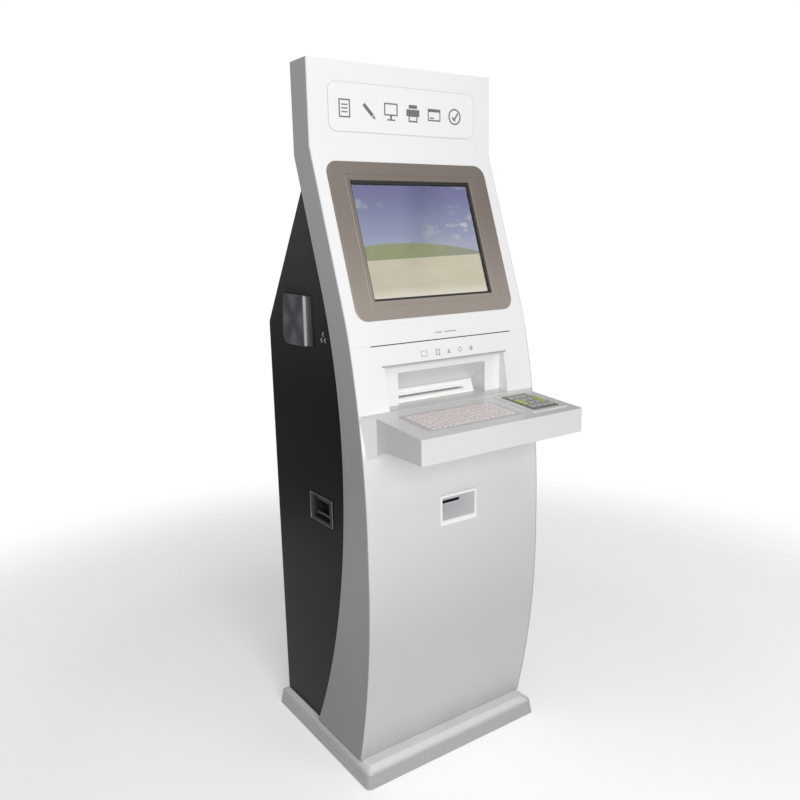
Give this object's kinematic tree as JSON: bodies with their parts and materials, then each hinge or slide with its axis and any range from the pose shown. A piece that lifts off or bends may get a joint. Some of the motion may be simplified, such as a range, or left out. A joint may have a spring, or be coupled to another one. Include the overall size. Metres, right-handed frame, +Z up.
{
  "type": "self-service form printing terminal",
  "caption": "Free-standing self-service terminal with a sloped touch screen, document outlet, keyboard and PIN pad shelf, receipt outlet, side card reader and hinged rear service door.",
  "frame": {"origin": "middle of the plinth's underside, on the floor, at the centre of the four floor anchors", "axes": "+Z up; the front with screen and shelf faces -Y; +X is the viewer's right when facing the screen"},
  "size_m": [0.549, 0.6635, 1.7],
  "materials": {
    "shell_white": "smooth semi-gloss powder coat",
    "shell_silver": "satin metallic powder coat",
    "band_grey": "satin metallic powder coat",
    "cabinet_black": "smooth gloss paint",
    "zinc_steel": "zinc plated",
    "bright_hardware": "polished",
    "sign_face": "gloss",
    "print_grey": "matt",
    "bezel_taupe": "satin metallic paint",
    "gasket_rubber": "matt",
    "screen_glass": "clear",
    "display": "lit picture",
    "liner_grey": "satin",
    "landing_grey": "satin",
    "outlet_white": "satin moulded",
    "unit_grey": "fine texture",
    "receipt_paper": "matt",
    "keyboard_metal": "fine brushed",
    "key_metal": "satin",
    "pad_surround": "satin",
    "pad_body": "fine texture",
    "pad_key": "satin",
    "pad_function_key": "satin",
    "reader_black": "gloss",
    "cup_black": "satin",
    "computer_case": "fine texture",
    "inlet_black": "satin",
    "rocker_red": "gloss"
  },
  "bodies": {
    "cabinet": {"plinth": "shell_silver", "base_plate": "zinc_steel", "cabinet_floor": "zinc_steel", "inner_frame": "zinc_steel", "left_side_panel": "cabinet_black", "right_side_panel": "cabinet_black", "left_side_band": "band_grey", "right_side_band": "band_grey", "upper_fascia": "shell_white", "middle_fascia": "shell_white", "lower_front_panel": "shell_silver", "header_cover": "shell_white", "rear_slope_panel": "cabinet_black", "rear_frame": "cabinet_black", "door_hinges": "bright_hardware", "panel_screws": "bright_hardware", "sign_panel": "sign_face", "sign_pictograms": "print_grey", "fascia_marks": "print_grey", "screen_bezel": "bezel_taupe", "screen_gasket": "gasket_rubber", "touch_glass": "screen_glass", "lcd_panel": "display", "lcd_module": "zinc_steel", "recess_panel": "shell_white", "niche_liner": "liner_grey", "landing_plate": "landing_grey", "printer_bezel": "outlet_white", "document_printer": "unit_grey", "receipt_bezel": "outlet_white", "receipt_printer": "unit_grey", "shelf_shell": "shell_silver", "shelf_floor": "shell_silver", "keyboard_plate": "keyboard_metal", "pin_pad_surround": "pad_surround", "pin_pad_body": "pad_body", "card_reader": "reader_black", "side_handle_cup": "cup_black", "computer": "computer_case", "power_inlet": "inlet_black"},
    "rear_door": {"rear_door": "cabinet_black", "cooling_fan": "inlet_black"},
    "door_lock": {"door_lock": "bright_hardware"},
    "fan_rotor": {"fan_rotor": "inlet_black"},
    "paper_roll": {"paper_roll": "receipt_paper"},
    "side_handle_grip": {"side_handle_grip": "bright_hardware"},
    "power_rocker": {"power_rocker": "rocker_red"},
    "key_row_1": {"key_row_1": "key_metal"},
    "key_row_2": {"key_row_2": "key_metal"},
    "key_row_3": {"key_row_3": "key_metal"},
    "key_row_4": {"key_row_4": "key_metal"},
    "key_row_5": {"key_row_5": "key_metal"},
    "key_row_6": {"key_row_6": "key_metal"},
    "space_bar": {"space_bar": "key_metal"},
    "pin_row_1": {"pin_row_1": "pad_key"},
    "pin_row_2": {"pin_row_2": "pad_key"},
    "pin_row_3": {"pin_row_3": "pad_key"},
    "pin_row_4": {"pin_row_4": "pad_key"},
    "pin_key_cancel": {"pin_key_cancel": "pad_function_key"},
    "pin_key_enter": {"pin_key_enter": "pad_function_key"}
  },
  "joints": [
    {"name": "rear_door_hinge", "type": "hinge", "parent": "cabinet", "child": "rear_door", "pos_m": [0.246, 0.222, 0.555], "axis": [0, 0, -1], "range_deg": [0, 110]},
    {"name": "door_lock_turn", "type": "hinge", "parent": "rear_door", "child": "door_lock", "pos_m": [-0.205, 0.225, 0.56], "axis": [0, 1, 0], "range_deg": [0, 90]},
    {"name": "fan_spin", "type": "hinge", "parent": "rear_door", "child": "fan_rotor", "pos_m": [0, 0.205, 0.56], "axis": [0, 1, 0], "continuous": true},
    {"name": "paper_roll_spin", "type": "hinge", "parent": "cabinet", "child": "paper_roll", "pos_m": [0, -0.115, 0.69], "axis": [1, 0, 0], "continuous": true},
    {"name": "side_handle_swing", "type": "hinge", "parent": "cabinet", "child": "side_handle_grip", "pos_m": [-0.2445, -0.027, 0.676], "axis": [0, 1, 0], "range_deg": [0, 80]},
    {"name": "power_rocker_tilt", "type": "hinge", "parent": "cabinet", "child": "power_rocker", "pos_m": [0.181, 0.213, 0.086], "axis": [-1, 0, 0], "range_deg": [0, 20]},
    {"name": "key_row_1_press", "type": "slide", "parent": "cabinet", "child": "key_row_1", "axis": [0, 0.0872, -0.9962], "range_m": [0, 0.0015], "stiffness_N_per_m": 6000, "springref_m": -0.001},
    {"name": "key_row_2_press", "type": "slide", "parent": "cabinet", "child": "key_row_2", "axis": [0, 0.0872, -0.9962], "range_m": [0, 0.0015], "stiffness_N_per_m": 6000, "springref_m": -0.001},
    {"name": "key_row_3_press", "type": "slide", "parent": "cabinet", "child": "key_row_3", "axis": [0, 0.0872, -0.9962], "range_m": [0, 0.0015], "stiffness_N_per_m": 6000, "springref_m": -0.001},
    {"name": "key_row_4_press", "type": "slide", "parent": "cabinet", "child": "key_row_4", "axis": [0, 0.0872, -0.9962], "range_m": [0, 0.0015], "stiffness_N_per_m": 6000, "springref_m": -0.001},
    {"name": "key_row_5_press", "type": "slide", "parent": "cabinet", "child": "key_row_5", "axis": [0, 0.0872, -0.9962], "range_m": [0, 0.0015], "stiffness_N_per_m": 6000, "springref_m": -0.001},
    {"name": "key_row_6_press", "type": "slide", "parent": "cabinet", "child": "key_row_6", "axis": [0, 0.0872, -0.9962], "range_m": [0, 0.0015], "stiffness_N_per_m": 6000, "springref_m": -0.001},
    {"name": "space_bar_press", "type": "slide", "parent": "cabinet", "child": "space_bar", "axis": [0, 0.0872, -0.9962], "range_m": [0, 0.0015], "stiffness_N_per_m": 1200, "springref_m": -0.001},
    {"name": "pin_row_1_press", "type": "slide", "parent": "cabinet", "child": "pin_row_1", "axis": [0, 0.0872, -0.9962], "range_m": [0, 0.0015], "stiffness_N_per_m": 1200, "springref_m": -0.001},
    {"name": "pin_row_2_press", "type": "slide", "parent": "cabinet", "child": "pin_row_2", "axis": [0, 0.0872, -0.9962], "range_m": [0, 0.0015], "stiffness_N_per_m": 1200, "springref_m": -0.001},
    {"name": "pin_row_3_press", "type": "slide", "parent": "cabinet", "child": "pin_row_3", "axis": [0, 0.0872, -0.9962], "range_m": [0, 0.0015], "stiffness_N_per_m": 1200, "springref_m": -0.001},
    {"name": "pin_row_4_press", "type": "slide", "parent": "cabinet", "child": "pin_row_4", "axis": [0, 0.0872, -0.9962], "range_m": [0, 0.0015], "stiffness_N_per_m": 1200, "springref_m": -0.001},
    {"name": "pin_key_cancel_press", "type": "slide", "parent": "cabinet", "child": "pin_key_cancel", "axis": [0, 0.0872, -0.9962], "range_m": [0, 0.0015], "stiffness_N_per_m": 500, "springref_m": -0.001},
    {"name": "pin_key_enter_press", "type": "slide", "parent": "cabinet", "child": "pin_key_enter", "axis": [0, 0.0872, -0.9962], "range_m": [0, 0.0015], "stiffness_N_per_m": 500, "springref_m": -0.001}
  ]
}
